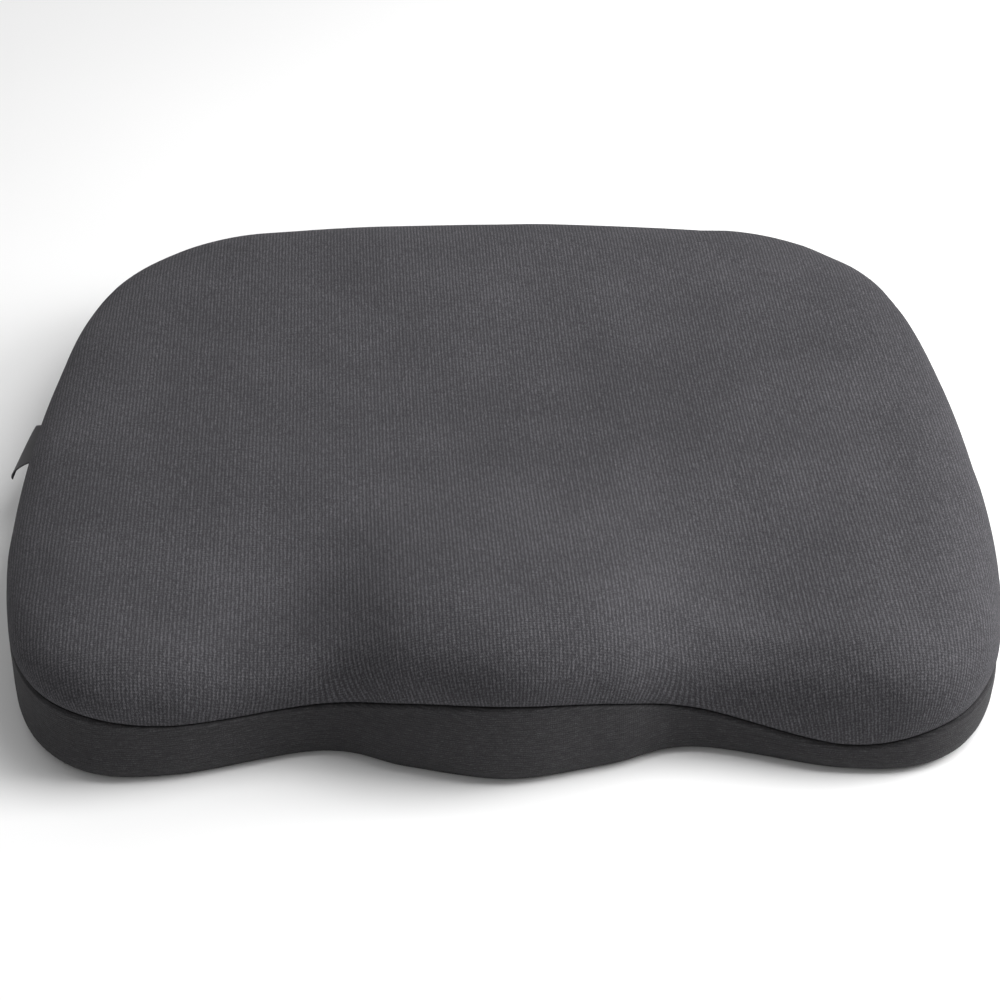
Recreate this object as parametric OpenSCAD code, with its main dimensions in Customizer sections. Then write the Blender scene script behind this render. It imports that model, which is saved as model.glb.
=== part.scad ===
// Contoured seat cushion: moulded foam core in a liner, inside a removable knit cover
// with a scalloped front, a boxing band and a rear zip fastener.
// Seen by someone facing the front edge, X is to the right, +Y to the rear and +Z up.

/* [Cushion] */
// Overall width of the cover
cushion_w = 450; // [430:1:470]
// Overall depth of the cover, front lobes to rear edge
cushion_d = 391; // [380:1:402]
// Height of the level part of the seat above the floor
seat_h = 57.5; // [55:0.5:61]
// How much higher the front edge is than the middle, and the rear lower
forward_rise = 2; // [0:1:5]
// Depth of the hollow that the sitter's weight rests in
seat_dish = 12; // [4:1:16]
// Height of the raised front pommel
pommel_rise = 12; // [4:1:14]
// Depth of the leg channel on each side of the pommel
leg_channel = 9; // [2:1:10]
// Plan width of the rounded upper edge
edge_round = 42; // [38:1:44]

/* [Cover] */
// Thickness of the knit panel and boxing band
knit_t = 1.4; // [1.2:0.1:1.5]
// Thickness of the base panel's raised field
base_t = 1.4; // [1:0.1:1.6]
// Height of a grip dot under the base panel
dot_h = 0.6; // [0.4:0.1:0.8]
// Radius of a grip dot
dot_r = 2; // [1.5:0.1:2.5]
// Distance between grip dots in a row
dot_pitch = 26; // [22:1:40]
// How far the base edge tucks in from the widest wall
base_tuck = 4; // [3:0.5:5]
// How far the band leans in at the upper seam
seam_tuck = 2; // [1.8:0.1:2.5]

/* [Foam and liner] */
// Space between the cover's outer face and the liner at the walls
liner_inset = 5; // [4.9:0.1:5.4]
// Space between the cover's outer face and the liner on top
liner_drop = 2.3; // [2.2:0.1:2.6]
// Thickness of the jersey liner
liner_t = 0.6; // [0.4:0.1:0.8]

/* [Zip fastener] */
// Radius of the rear wall that the zip follows
zip_r = 760; // [750:5:770]
// Height of the line where the two rows meet
zip_z = 12; // [11.9:0.1:12.1]
// Pitch of the coil's turns
tooth_pitch = 2.6; // [2.2:0.1:3.5]
// Length of the slider
slider_l = 11; // [10:0.5:12]
// Length of the pull tab beyond its pin
tab_l = 24; // [18:1:28]

/* [Side label] */
// Width of the folded label along the seam
label_w = 25; // [18:1:30]
// How far the folded label stands out of the seam
label_l = 11; // [8:1:12]

/* [Hidden] */

charcoal = [0.22, 0.21, 0.23];
dark_knit = [0.17, 0.165, 0.18];
foam_cream = [0.93, 0.89, 0.78];
jersey_white = [0.88, 0.88, 0.86];
metal_grey = [0.34, 0.34, 0.36];

// Half of the plan outline at the widest wall, from the middle of the front round the
// right side to the middle of the rear: X, Y, then the height of the upper seam on the
// right side and on the left side at that place.
half_rim = [[0, -195.5, 42.5, 42.5], [44, -187, 36, 37.5], [80.5, -176.5, 24, 28.5],
            [141.5, -190.5, 15, 29.5], [181.5, -188, 21, 35], [207.5, -163, 23, 35.5],
            [221, -114.5, 22, 36], [225, -45, 25.5, 36.5], [221, 36, 30.5, 37],
            [208, 112, 33.5, 37.5], [179.7, 158, 34.5, 38.5], [130, 183.8, 36, 38.5],
            [66, 192.1, 37, 38.5], [0, 195, 38, 38]];
rear_knot = 11;
steps = 4;
k_w = cushion_w / 450;
k_d = cushion_d / 391;
last = len(half_rim) - 1;

// The zip lies along a true arc, about a vertical axis far in front of the rear wall
zip_axis_y = cushion_d / 2 - 0.5 - zip_r;
function arc_y(x) = zip_axis_y + sqrt(zip_r * zip_r - x * x);
function knot_y(i) = i < rear_knot ? half_rim[i][1] * k_d : arc_y(half_rim[i][0] * k_w);
knots = concat([for (i = [0:last]) [half_rim[i][0] * k_w, knot_y(i), half_rim[i][2]]],
               [for (i = [last - 1:-1:1]) [-half_rim[i][0] * k_w, knot_y(i), half_rim[i][3]]]);
knot_n = len(knots);

function knot(i) = knots[(i + knot_n) % knot_n];
function flat(p) = [p[0], p[1]];
function unit(v) = v / norm(v);
rear_knots = [rear_knot, knot_n - rear_knot];

// Direction and pace of the rim at knot i, as the spans on its front side see it
function knot_way(i) =
    let (way = (knot(i + 1) - knot(i - 1)) / 2, k = (i + knot_n) % knot_n,
         side = k == rear_knots[0] ? 1 : -1, p = knot(i),
         pace = norm(flat(p) - flat(knot(i - side))),
         dir = unit([zip_axis_y - p[1], p[0]]))
    k == rear_knots[0] || k == rear_knots[1] ? [dir[0] * pace, dir[1] * pace, way[2]] : way;
// A smooth curve from knot i to the next
function span(i, t) =
    let (t2 = t * t, t3 = t2 * t)
    (2 * t3 - 3 * t2 + 1) * knot(i) + (t3 - 2 * t2 + t) * knot_way(i)
    + (3 * t2 - 2 * t3) * knot(i + 1) + (t3 - t2) * knot_way(i + 1);
// The same, but on the arc across the rear
function rim_at(i, t) =
    let (p = span(i, t), x = knot(i)[0] * (1 - t) + knot(i + 1)[0] * t)
    i >= rear_knots[0] && i < rear_knots[1] ? [x, arc_y(x), p[2]] : p;
rim = [for (i = [0:knot_n - 1]) for (k = [0:steps - 1]) rim_at(i, k / steps)];
rim_n = len(rim);
around = [0:rim_n - 1];

function rim_along(i) = unit(flat(rim[(i + 1) % rim_n]) - flat(rim[(i + rim_n - 1) % rim_n]));
// Outward normal of the plan outline
out_dir = [for (i = around) [rim_along(i)[1], -rim_along(i)[0]]];
// Direction from the middle of the seat to the wall
ray_dir = [for (i = around) unit(flat(rim[i]))];

function clip(t) = min(1, max(0, t));
function ease(a, b, t) = let (s = clip((t - a) / (b - a))) s * s * (3 - 2 * s);

// Height of the seat's surface at a place in plan
dish_at = [0, 25];
dish_size = [140, 105];
pommel_half_w = 66;
channel_at = 104;
channel_half_w = 38;
front_zone = [-30, -160];
function seat_z(p) =
    let (front = ease(front_zone[0], front_zone[1], p[1]),
         dx = (p[0] - dish_at[0]) / dish_size[0], dy = (p[1] - dish_at[1]) / dish_size[1])
    seat_h - forward_rise * p[1] * 2 / cushion_d - seat_dish * exp(-dx * dx - dy * dy)
    + front * (pommel_rise * exp(-pow(p[0] / pommel_half_w, 4))
               - leg_channel * exp(-pow((abs(p[0]) - channel_at) / channel_half_w, 2)));

// How far the wall stands in from the widest outline at height z under the upper seam
bulge_z = 9;
function tuck(z, seam) = base_tuck * pow(1 - clip(z / bulge_z), 2)
    + seam_tuck * pow(clip((z - bulge_z) / (seam - bulge_z)), 2);

// One ring of the wall at height z or at the seam, set in by `inset`
function wall_ring(z, inset) =
    [for (i = around) let (zi = min(z, rim[i][2]), p = flat(rim[i])
                           - out_dir[i] * (inset + tuck(zi, rim[i][2])))
        [p[0], p[1], zi]];

// One ring of the rounded upper edge; k runs from 0 at the seam to 1 at the seat
edge_power = 2.35;
edge_lip = 2;
lip_fade = 0.08;
function edge_ring(k, inset, drop) =
    [for (i = around)
        let (lip = edge_lip * sin(180 * clip(2 * k)) - seam_tuck * clip(1 - k / lip_fade),
             p = flat(rim[i]) - ray_dir[i] * (k * edge_round - lip),
             rise = pow(1 - pow(1 - k, edge_power), 1 / edge_power),
             z = rim[i][2] + (seat_z(p) - rim[i][2]) * rise, q = p - out_dir[i] * inset)
        [q[0], q[1], z - drop * rise]];

// One ring of the seat; s runs from 0 at the rounded edge to 1 at the middle
function seat_ring(s, drop) =
    [for (i = around) let (p = (flat(rim[i]) - ray_dir[i] * edge_round) * (1 - s))
        [p[0], p[1], seat_z(p) - drop]];

edge_steps = 6;
seat_steps = 6;
function dome_rings(inset, drop) =
    concat([for (j = [0:edge_steps]) edge_ring(1 - cos(90 * j / edge_steps), inset, drop)],
           [for (j = [1:seat_steps - 1]) seat_ring(j / seat_steps, drop)]);
function dome_top(drop) = [0, 0, seat_z([0, 0]) - drop];

function joined(lists) = [for (l = lists) for (p = l) p];
// Faces between ring a and the next ring, in rings of n points
function skirt(a, n) = [for (i = [0:n - 1]) let (j = (i + 1) % n)
    each [[a * n + i, (a + 1) * n + i, (a + 1) * n + j],
          [a * n + i, (a + 1) * n + j, a * n + j]]];

// A closed solid from rings that run upwards, closed by a floor and a top point
module closed_dome(rings, floor_z, top) {
    n = rim_n;
    m = len(rings);
    polyhedron(points = concat(joined(rings), [top, [0, 0, floor_z]]),
               faces = concat([for (a = [0:m - 2]) each skirt(a, n)],
                              [for (i = around) [(m - 1) * n + i, m * n, (m - 1) * n + (i + 1) % n]],
                              [for (i = around) [i, (i + 1) % n, m * n + 1]]));
}

// A bowl turned upside down: outer rings up to one top point, inner rings back down
module shell_dome(outer, outer_top, inner, inner_top) {
    n = rim_n;
    m = len(outer);
    base = m * n + 1;
    function down(f) = [for (t = f) [t[0] + base, t[2] + base, t[1] + base]];
    polyhedron(points = concat(joined(outer), [outer_top], joined(inner), [inner_top]),
               faces = concat([for (a = [0:m - 2]) each skirt(a, n)],
                              [for (i = around) [(m - 1) * n + i, m * n, (m - 1) * n + (i + 1) % n]],
                              [for (a = [0:m - 2]) each down(skirt(a, n))],
                              [for (i = around) let (j = (i + 1) % n)
                                  [base + (m - 1) * n + i, base + (m - 1) * n + j, base + m * n]],
                              [for (i = around) let (j = (i + 1) % n)
                                  each [[i, j, base + j], [i, base + j, base + i]]]));
}

// A bar swept through a list of equal closed sections; `closed` joins its two ends
module swept(sections, closed) {
    n = len(sections[0]);
    m = len(sections);
    spans = closed ? m : m - 1;
    sides = [for (a = [0:spans - 1]) for (i = [0:n - 1])
                let (b = (a + 1) % m, j = (i + 1) % n)
                each [[a * n + i, b * n + j, b * n + i], [a * n + i, a * n + j, b * n + j]]];
    caps = closed ? [] : [[for (i = [n - 1:-1:0]) i], [for (i = [0:n - 1]) (m - 1) * n + i]];
    polyhedron(points = joined(sections), faces = concat(sides, caps));
}

// Levels of the layers above the floor, with the room left between them
layer_gap = 0.4;
seam_gap = 0.3;
panel_top = dot_h + base_t;
liner_floor = panel_top + layer_gap;
core_floor = liner_floor + liner_t + layer_gap;
core_inset = liner_inset + liner_t + layer_gap;
core_drop = liner_drop + liner_t + layer_gap;
wall_levels = [bulge_z, bulge_z + 5];

function plan(inset) = [for (i = around) flat(rim[i]) - out_dir[i] * inset];

module foam_core() {
    color(foam_cream)
        closed_dome(concat([for (z = concat([core_floor], wall_levels)) wall_ring(z, core_inset)],
                           dome_rings(core_inset, core_drop)),
                    core_floor, dome_top(core_drop));
}

module liner_top() {
    edge_z = liner_floor + liner_t + 0.1;
    levels = concat([edge_z], wall_levels);
    inner = liner_inset + liner_t;
    color(jersey_white)
        shell_dome(concat([for (z = levels) wall_ring(z, liner_inset)],
                          dome_rings(liner_inset, liner_drop)),
                   dome_top(liner_drop),
                   concat([for (z = levels) wall_ring(z, inner)],
                          dome_rings(inner, liner_drop + liner_t)),
                   dome_top(liner_drop + liner_t));
}

module liner_base() {
    color(jersey_white) translate([0, 0, liner_floor])
        linear_extrude(liner_t) polygon(plan(liner_inset + tuck(liner_floor, seat_h)));
}

module cover_top_panel() {
    color(charcoal)
        shell_dome(dome_rings(0, 0), dome_top(0), dome_rings(knit_t, knit_t), dome_top(knit_t));
}

// Section of the boxing band at rim point i: up the outer face, down the inner face
band_levels = [0, 0.1, 0.2, 0.4, 0.7, 1];
function band_point(i, level, inset) =
    let (seam = rim[i][2], z = level * (seam - seam_gap),
         p = flat(rim[i]) - out_dir[i] * (inset + tuck(z, seam)))
    [p[0], p[1], z];
function band_section(i, levels) =
    concat([for (v = levels) band_point(i, v, 0)],
           [for (k = [len(levels) - 1:-1:0]) band_point(i, levels[k], knit_t)]);

module cover_side_band() {
    color(dark_knit)
        swept([for (i = [-rear_knot * steps:rear_knot * steps])
                  band_section((i + rim_n) % rim_n, band_levels)], false);
}

// The base panel: a thin field raised off the floor, inside a thicker hem
hem_inset = base_tuck + knit_t + 0.2;
hem_w = 9;
module cover_base_panel() {
    color(dark_knit) {
        translate([0, 0, dot_h]) linear_extrude(base_t) polygon(plan(hem_inset));
        linear_extrude(panel_top) difference() {
            polygon(plan(hem_inset));
            polygon(plan(hem_inset + hem_w));
        }
    }
}

// Rows of grip dots, every second row set half a pitch over, kept clear of the hem
dot_area = [cushion_w / 2 - 30, cushion_d / 2 - 35];
dot_clear = hem_inset + hem_w + dot_r + 1;
function on_field(at) = abs(at[0]) <= dot_area[0] && abs(at[1]) <= dot_area[1]
    && min([for (p = rim) norm(flat(p) - at)]) > dot_clear;
module base_grip_dots() {
    row_step = dot_pitch * sin(60);
    rows = floor(dot_area[1] / row_step);
    cols = floor(dot_area[0] / dot_pitch);
    color("dimgray")
        for (row = [-rows:rows])
            for (col = [-cols - 1:cols]) {
                at = [(col + (row % 2 == 0 ? 0 : 0.5)) * dot_pitch, row * row_step];
                if (on_field(at))
                    translate(at) cylinder(r = dot_r, h = dot_h, $fn = 24);
            }
}

// The overlocked seam allowance, turned down inside the cover under a seam
lock_t = 1.2;
lock_h = 2.4;
function lock_section(i, top_z, inset) =
    let (p = flat(rim[i]) - out_dir[i] * inset, q = p - out_dir[i] * lock_t)
    [[p[0], p[1], top_z - lock_h], [p[0], p[1], top_z],
     [q[0], q[1], top_z], [q[0], q[1], top_z - lock_h]];

lock_gap = 0.3;
module top_seam_overlock() {
    inset = seam_tuck + knit_t + lock_gap;
    color("black")
        swept([for (i = around) lock_section(i, rim[i][2] - seam_gap - lock_gap, inset)], true);
}

module base_seam_overlock() {
    low_z = panel_top + lock_gap;
    inset = tuck(low_z, seat_h) + knit_t + lock_gap;
    color("black")
        swept([for (i = around) lock_section(i, low_z + lock_h, inset)], true);
}

// A blank folded ribbon, caught in the left side seam
label_span = 18;
label_share = 0.4;
label_droop = 30;
label_t = 1;
label_out = 1.4;
label_along = unit(flat(rim_at(label_span, label_share + 0.1) - rim_at(label_span, label_share - 0.1)));
label_turn = atan2(-label_along[0], label_along[1]);
label_root = rim_at(label_span, label_share);
label_pos = label_root - label_out * [label_along[1], -label_along[0], 0];
module side_label_tab() {
    color(charcoal)
        translate(label_pos) rotate([0, 0, label_turn]) rotate([0, label_droop, 0])
            union() {
                translate([0, -label_w / 2, -label_t / 2]) cube([label_l, label_w, label_t]);
                rotate([90, 0, 0])
                    cylinder(r = label_t / 2, h = label_w, center = true, $fn = 24);
            }
}

// A blank care label inside the cover, against the band near the left front
care_size = [0.3, 40, 20];
care_knot = 19;
module care_label() {
    i = care_knot * steps;
    p = flat(rim[i]) - out_dir[i] * (knit_t + 2);
    color("white")
        translate([p[0], p[1], panel_top + lock_h + 2 * lock_gap])
            rotate([0, 0, atan2(out_dir[i][1], out_dir[i][0])])
                translate([-care_size[0], -care_size[1] / 2, 0]) cube(care_size);
}

// Zip fastener
zip_half = asin((half_rim[rear_knot][0] * k_w - 0.5) / zip_r);
zip_gap = 4.5;
tape_t = 0.6;
tape_r = zip_r - knit_t - 0.4;
tape_edge = 1.6;
coil_w = 3;
coil_r = tape_r + 0.1;
spine_t = 0.6;
coil_h = 2;
slot = 0.4;

function arc_deg(mm) = mm / zip_r * 180 / PI;
stop_l = 3;
stop_gap = 0.7;
past_stops = [2.7, 3.9];
slider_rest = zip_half - arc_deg(slider_l / 2 + stop_gap + stop_l + past_stops[0]);
slider_far = -zip_half + arc_deg(slider_l / 2 + stop_gap + stop_l + past_stops[1]);

// A strip of the rear wall with the given section, drawn as [radius, height] points
module rear_strip(section, half = zip_half)
    translate([0, zip_axis_y, 0]) rotate([0, 0, 90 - half])
        rotate_extrude(angle = 2 * half, $fn = 360) polygon(section);

// Places a piece on the zip line; inside, X runs along the zip and Y out of the wall
module on_zip(deg) translate([0, zip_axis_y, zip_z]) rotate([0, 0, -deg]) children();

// The strip above the zip, cut back at both ends by a small share of one step
module rear_band_upper() {
    first = rear_knots[0] * steps;
    final = rear_knots[1] * steps;
    cut_back = 0.05;
    function level(i) = (zip_z + zip_gap) / (rim[i][2] - seam_gap);
    function section(i) = band_section(i, [for (k = [0:3]) level(i) + (1 - level(i)) * k / 3]);
    function end_section(i, inner) = section(i) * (1 - cut_back) + section(inner) * cut_back;
    color(dark_knit)
        swept(concat([end_section(first, first + 1)],
                     [for (i = [first + 1:final - 1]) section(i)],
                     [end_section(final, final - 1)]), false);
}

module rear_band_lower() {
    fold_z = zip_z - zip_gap;
    outer = [for (k = [0:4]) let (z = fold_z * k / 4) [zip_r - tuck(z, seat_h), z]];
    color(dark_knit)
        rear_strip(concat(outer, [for (k = [4:-1:0]) outer[k] - [knit_t, 0]]));
}

// A tape leans in with the band it is sewn to, most at its outer edge
rear_seam = half_rim[last][2] - 2;
module zip_tape(side, width) {
    z1 = zip_z + side * tape_edge;
    z2 = zip_z + side * (tape_edge + width);
    lean = tuck(z2, rear_seam);
    color("black")
        rear_strip([[tape_r - tape_t, z1], [tape_r, z1],
                    [tape_r - lean, z2], [tape_r - tape_t - lean, z2]], zip_half - 0.03);
}
module zip_tape_upper() zip_tape(1, 9);
module zip_tape_lower() zip_tape(-1, 4.1);

// One row of coil turns on its stitched spine, as a comb that follows the arc
coil_from = slider_far - arc_deg(slider_l / 2 - 1);
coil_to = slider_rest + arc_deg(slider_l / 5);
row_gap = 0.15;
function polar(r, deg) = r * [sin(deg), cos(deg)];
module zip_row(side, shift) {
    step = arc_deg(tooth_pitch);
    turns = floor((coil_to - coil_from) / step) - 1;
    comb = [for (k = [0:turns - 1]) let (a = coil_from + (k + shift) * step)
        each [polar(coil_r + spine_t, a), polar(coil_r + coil_h, a + 0.15 * step),
              polar(coil_r + coil_h, a + 0.45 * step), polar(coil_r + spine_t, a + 0.6 * step)]];
    back = [for (k = [turns:-2:0]) polar(coil_r, coil_from + (k + shift) * step)];
    color("black")
        translate([0, zip_axis_y, zip_z + (side > 0 ? row_gap : -coil_w)])
            linear_extrude(coil_w - row_gap) polygon(concat(comb, back));
}
module zip_coil_upper() zip_row(1, 0);
module zip_coil_lower() zip_row(-1, 0.5);

stop_w = 2.4;
module zip_top_stops() {
    color(metal_grey) on_zip(slider_rest + arc_deg(slider_l / 2 + stop_gap + stop_l / 2))
        for (side = [-1, 1])
            translate([-stop_l / 2, coil_r, side * coil_w - stop_w / 2])
                cube([stop_l, coil_h, stop_w]);
}

module zip_bottom_stop() {
    width = 2 * coil_w + 0.8;
    color(metal_grey) on_zip(slider_far - arc_deg(slider_l / 2 + stop_gap + stop_l / 2))
        translate([-stop_l / 2, coil_r, -width / 2]) cube([stop_l, coil_h, width]);
}

plate_t = 1.2;
plate_w = 9.2;
back_r = tape_r - tape_t - slot - plate_t;
front_r = coil_r + coil_h + slot;
cap_r = front_r + plate_t;
// A plate with round corners, in the plane of the zip
module shield(length, width, radius) {
    rotate([-90, 0, 0]) linear_extrude(plate_t) hull()
        for (x = [-1, 1], z = [-1, 1])
            translate([x * (length / 2 - radius), z * (width / 2 - radius)])
                circle(r = radius, $fn = 32);
}

module zip_slider_body() {
    flange = 0.9;
    wedge = [1.8, 2];
    wedge_back = 0.6;
    flange_back = 1.6;
    bite = 0.1;
    color(metal_grey) on_zip(slider_rest) {
        translate([0, back_r, 0]) shield(slider_l, plate_w - 0.8, 1.6);
        translate([0, front_r, 0]) shield(slider_l, plate_w, 2);
        for (side = [-1, 1])
            translate([-slider_l / 2 + flange_back, tape_r + slot,
                       side * (coil_w + 0.75) - flange / 2])
                cube([slider_l - 2 * flange_back, front_r - tape_r - slot + 2 * bite, flange]);
        translate([slider_l / 2 - wedge[0] - wedge_back, back_r + plate_t - bite, -wedge[1] / 2])
            cube([wedge[0], front_r - back_r - plate_t + 2 * bite, wedge[1]]);
    }
}

pin_r = 0.65;
pin_y = cap_r + 1.2;
bail = [8.4, 3, 2.2];
module zip_slider_bail() {
    wall = 1.1;
    roof = 0.9;
    color(metal_grey) on_zip(slider_rest) difference() {
        translate([-bail[0] / 2, cap_r, -bail[2] / 2]) cube(bail);
        translate([-bail[0] / 2 + wall, cap_r - 1, -bail[2]])
            cube([bail[0] - 2 * wall, 1 + bail[1] - roof, 2 * bail[2]]);
    }
}

module zip_lock_spring() {
    spring = [5.4, 0.2, 1.4];
    color("silver") on_zip(slider_rest)
        translate([-spring[0] / 2, cap_r + 0.05, -spring[2] / 2]) cube(spring);
}

tab_w = 7;
tab_t = 1.2;
tab_end_r = 2.6;
eye_r = 1.2;
module zip_pull_tab() {
    window = [6.4, 3.2];
    color(metal_grey) on_zip(slider_rest) translate([0, pin_y, 0]) {
        cylinder(r = pin_r, h = tab_w - 1, center = true, $fn = 48);
        rotate([90, 0, 0]) translate([0, 0, -tab_t / 2]) linear_extrude(tab_t) difference() {
            hull() {
                translate([0, -tab_w / 2]) square([0.6, tab_w]);
                translate([tab_end_r - tab_l, 0]) circle(r = tab_end_r, $fn = 48);
            }
            translate([-window[0], -window[1] / 2]) square([window[0] + 1, window[1]]);
            translate([tab_end_r + 0.8 - tab_l, 0]) circle(r = eye_r, $fn = 32);
        }
    }
}

foam_core();
liner_top();
liner_base();
cover_top_panel();
cover_side_band();
rear_band_upper();
rear_band_lower();
cover_base_panel();
base_grip_dots();
side_label_tab();
care_label();
top_seam_overlock();
base_seam_overlock();
zip_tape_upper();
zip_tape_lower();
zip_coil_upper();
zip_coil_lower();
zip_top_stops();
zip_bottom_stop();
zip_slider_body();
zip_slider_bail();
zip_lock_spring();
zip_pull_tab();
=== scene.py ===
"""Looks of the contoured seat cushion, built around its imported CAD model."""
import math

import bmesh
import bpy
import numpy as np
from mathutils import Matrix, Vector


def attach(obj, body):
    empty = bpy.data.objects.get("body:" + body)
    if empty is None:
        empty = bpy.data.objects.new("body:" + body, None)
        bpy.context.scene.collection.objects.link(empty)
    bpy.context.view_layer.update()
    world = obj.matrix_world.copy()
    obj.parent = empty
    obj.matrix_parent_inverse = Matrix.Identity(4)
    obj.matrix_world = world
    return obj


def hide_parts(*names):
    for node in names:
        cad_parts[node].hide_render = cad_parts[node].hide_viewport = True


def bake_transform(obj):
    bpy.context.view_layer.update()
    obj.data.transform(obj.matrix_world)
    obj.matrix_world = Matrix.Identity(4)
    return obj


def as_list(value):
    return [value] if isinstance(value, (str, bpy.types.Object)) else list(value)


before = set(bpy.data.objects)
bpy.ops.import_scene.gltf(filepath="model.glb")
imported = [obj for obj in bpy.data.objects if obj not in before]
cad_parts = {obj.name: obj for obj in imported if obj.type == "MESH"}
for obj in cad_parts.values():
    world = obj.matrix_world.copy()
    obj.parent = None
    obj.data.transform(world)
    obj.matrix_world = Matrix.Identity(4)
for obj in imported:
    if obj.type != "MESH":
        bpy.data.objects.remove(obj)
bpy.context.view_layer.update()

MM = 0.001

# ---------------------------------------------------------------- sizes
# Half of the plan outline at the widest wall, in millimetres, from the middle of the
# front round the right side to the middle of the rear: X, Y, and the height of the
# upper seam there on the right side and on the left side.
HALF_RIM = np.array([
    (0, -195.5, 42.5, 42.5), (44, -187, 36, 37.5), (80.5, -176.5, 24, 28.5),
    (141.5, -190.5, 15, 29.5), (181.5, -188, 21, 35), (207.5, -163, 23, 35.5),
    (221, -114.5, 22, 36), (225, -45, 25.5, 36.5), (221, 36, 30.5, 37),
    (208, 112, 33.5, 37.5), (179.7, 158, 34.5, 38.5), (130, 183.8, 36, 38.5),
    (66, 192.1, 37, 38.5), (0, 195, 38, 38)]) * MM
REAR_KNOT = 11
CAD_STEPS = 4
ZIP_R = 0.760
ZIP_AXIS_Y = -0.565
ZIP_Z = 0.012
ZIP_GAP = 0.0045
AROUND = 416

SEAT_H = 0.0575
FORWARD_RISE = 0.002
HALF_DEPTH = 0.1955
SEAT_DISH = 0.012
POMMEL_RISE = 0.012
LEG_CHANNEL = 0.009
EDGE_ROUND = 0.042
EDGE_POWER = 2.35
EDGE_LIP = 0.002
BASE_TUCK = 0.004
BULGE_Z = 0.009
BAND_LEAN = 0.0012
SEAM_ROLL = 0.0011
SEAM_BEAD = 0.0005
KNIT_T = 0.0012

DOT_H = 0.0006
DOT_R = 0.002
DOT_PITCH = 0.026
DOT_CLEAR = 0.0182
DOT_AREA = (0.195, 0.1605)
HEM_INSET = 0.0056
HEM_W = 0.009
BASE_TOP = 0.002


# ---------------------------------------------------------------- outline
def smooth(a, b, x):
    """A soft step from 0 at a to 1 at b."""
    t = np.clip((x - a) / (b - a), 0, 1)
    return t * t * (3 - 2 * t)


def knot_table():
    """The whole rim, anticlockwise from the middle of the front, with a true arc behind."""
    half = HALF_RIM.copy()
    rear = half[REAR_KNOT:]
    rear[:, 1] = ZIP_AXIS_Y + np.sqrt(ZIP_R**2 - rear[:, 0]**2)
    return np.vstack([half[:, [0, 1, 2]], half[-2:0:-1][:, [0, 1, 3]] * (-1, 1, 1)])


KNOTS = knot_table()
KNOT_N = len(KNOTS)
REAR = (REAR_KNOT, KNOT_N - REAR_KNOT)


def knot_ways():
    """The rim's direction and pace at each knot, level with the rear arc at its ends."""
    ways = (np.roll(KNOTS, -1, 0) - np.roll(KNOTS, 1, 0)) / 2
    for k, side in zip(REAR, (1, -1)):
        pace = np.linalg.norm(KNOTS[k, :2] - KNOTS[(k - side) % KNOT_N, :2])
        way = np.array([ZIP_AXIS_Y - KNOTS[k, 1], KNOTS[k, 0]])
        ways[k, :2] = way / np.linalg.norm(way) * pace
    return ways


WAYS = knot_ways()


def rim_at(s):
    """Points of the rim, X, Y and seam height, at places s counted in knots."""
    s = np.asarray(s, float) % KNOT_N
    i = np.floor(s).astype(int)
    t = (s - i)[:, None]
    a, b, wa, wb = KNOTS[i], KNOTS[(i + 1) % KNOT_N], WAYS[i], WAYS[(i + 1) % KNOT_N]
    p = ((2 * t**3 - 3 * t**2 + 1) * a + (t**3 - 2 * t**2 + t) * wa
         + (3 * t**2 - 2 * t**3) * b + (t**3 - t**2) * wb)
    rear = (i >= REAR[0]) & (i < REAR[1])
    x = a[:, 0] * (1 - t[:, 0]) + b[:, 0] * t[:, 0]
    p[rear, 0] = x[rear]
    p[rear, 1] = ZIP_AXIS_Y + np.sqrt(ZIP_R**2 - x[rear]**2)
    return p


class Rim:
    """The rim sampled at n places an equal way apart, from the middle of the front."""

    def __init__(self, n):
        fine = np.linspace(0, KNOT_N, KNOT_N * 200 + 1)
        p = rim_at(fine)
        p[-1] = p[0]
        run = np.concatenate([[0], np.cumsum(np.linalg.norm(np.diff(p[:, :2], axis=0), axis=1))])
        self.n = n
        self.length = run[-1]
        self.run = np.arange(n) / n * run[-1]
        self.s = np.interp(self.run, run, fine)
        q = rim_at(self.s)
        self.xy, self.seam = q[:, :2], q[:, 2]
        along = np.roll(self.xy, -1, 0) - np.roll(self.xy, 1, 0)
        along /= np.linalg.norm(along, axis=1)[:, None]
        self.out = np.column_stack([along[:, 1], -along[:, 0]])
        self.ray = self.xy / np.linalg.norm(self.xy, axis=1)[:, None]

    def index(self, s):
        """The sample nearest to place s, counted in knots."""
        return int(np.argmin(np.abs(self.s - s)))

    def between(self, a, b):
        """Sample numbers from place a round to place b, counted in knots."""
        first, last = self.index(a), self.index(b)
        return np.arange(first, first + (last - first) % self.n + 1) % self.n


def seat_z(x, y):
    """The height of the seat, with its dish, pommel and leg channels."""
    front = smooth(-0.030, -0.160, y)
    dish = np.exp(-(x / 0.140) ** 2 - ((y - 0.025) / 0.105) ** 2)
    pommel = np.exp(-(x / 0.066) ** 4)
    channel = np.exp(-((np.abs(x) - 0.104) / 0.038) ** 2)
    return (SEAT_H - FORWARD_RISE * y / HALF_DEPTH - SEAT_DISH * dish
            + front * (POMMEL_RISE * pommel - LEG_CHANNEL * channel))


def low_tuck(z):
    """How far the wall stands in below its widest height."""
    return BASE_TUCK * (1 - np.clip(z / BULGE_Z, 0, 1)) ** 2


def wall_inset(z, seam):
    """How far the band stands in from the widest outline."""
    lean = BAND_LEAN * np.clip((z - BULGE_Z) / (seam - BULGE_Z), 0, 1) ** 2
    bead = SEAM_BEAD * np.exp(-((seam - z - 0.0015) / 0.0009) ** 2)
    return low_tuck(z) + lean + SEAM_ROLL * np.exp(-(seam - z) / 0.0006) - bead


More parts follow.
